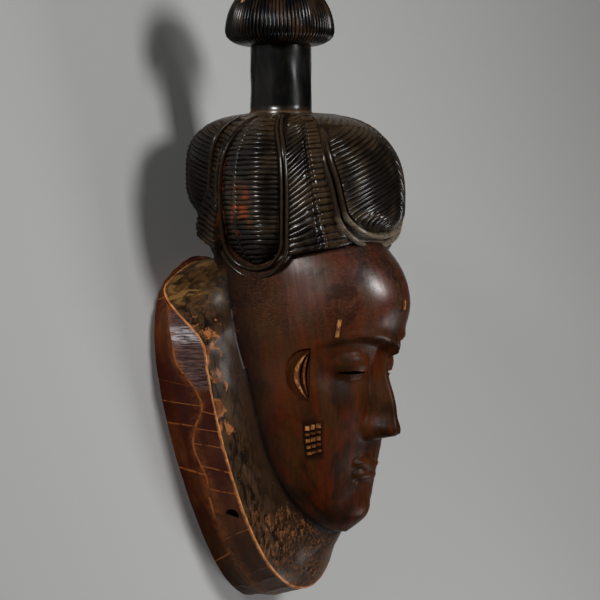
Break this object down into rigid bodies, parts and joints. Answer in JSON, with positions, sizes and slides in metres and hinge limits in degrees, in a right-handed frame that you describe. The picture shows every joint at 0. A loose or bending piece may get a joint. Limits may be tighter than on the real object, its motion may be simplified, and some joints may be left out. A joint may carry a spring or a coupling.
{
  "type": "carved wooden face mask",
  "caption": "Carved wooden face mask with a hollow back, a broad flange, a combed lobed coiffure and a fluted topknot, lying on its back.",
  "frame": {"origin": "middle of the mask's footprint, on the surface it lies on", "axes": "+Z out of the face, +Y towards the topknot, +X across the mask"},
  "size_m": [0.1784, 0.4284, 0.1626],
  "materials": {
    "carved_wood": "dark red-brown polished patina, black on the coiffure, worn tan on the edges"
  },
  "bodies": {
    "root": {"mask": "carved_wood"}
  },
  "joints": []
}
